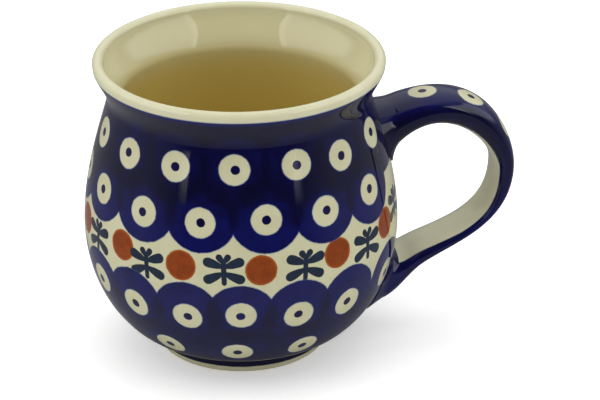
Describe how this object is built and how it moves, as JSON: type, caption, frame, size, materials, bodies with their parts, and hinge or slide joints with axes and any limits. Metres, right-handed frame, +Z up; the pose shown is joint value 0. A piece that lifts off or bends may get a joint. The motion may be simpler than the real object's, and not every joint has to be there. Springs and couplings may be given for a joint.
{
  "type": "mug",
  "caption": "Stoneware bubble mug with a flared lip, a narrow neck, a round belly, a foot ring and a strap handle.",
  "frame": {"origin": "centre of the foot ring, on the surface the mug stands on", "axes": "+Z up along the axis of the cup, +X towards the handle"},
  "size_m": [0.1257, 0.0904, 0.089],
  "materials": {
    "fired_clay": "matt, bare",
    "cream_glaze": "gloss",
    "decorated_glaze": "gloss, stamped cobalt, cream and rust pattern",
    "foot_glaze": "gloss",
    "handle_glaze": "gloss, cobalt outside and cream inside the loop",
    "joint_glaze": "gloss"
  },
  "bodies": {
    "root": {"cup_body": "fired_clay", "lining_glaze": "cream_glaze", "outer_glaze": "decorated_glaze", "foot_glaze": "foot_glaze", "recess_glaze": "cream_glaze", "handle_strap": "fired_clay", "handle_glaze": "handle_glaze", "upper_joint_slip": "joint_glaze", "lower_joint_slip": "joint_glaze"}
  },
  "joints": []
}
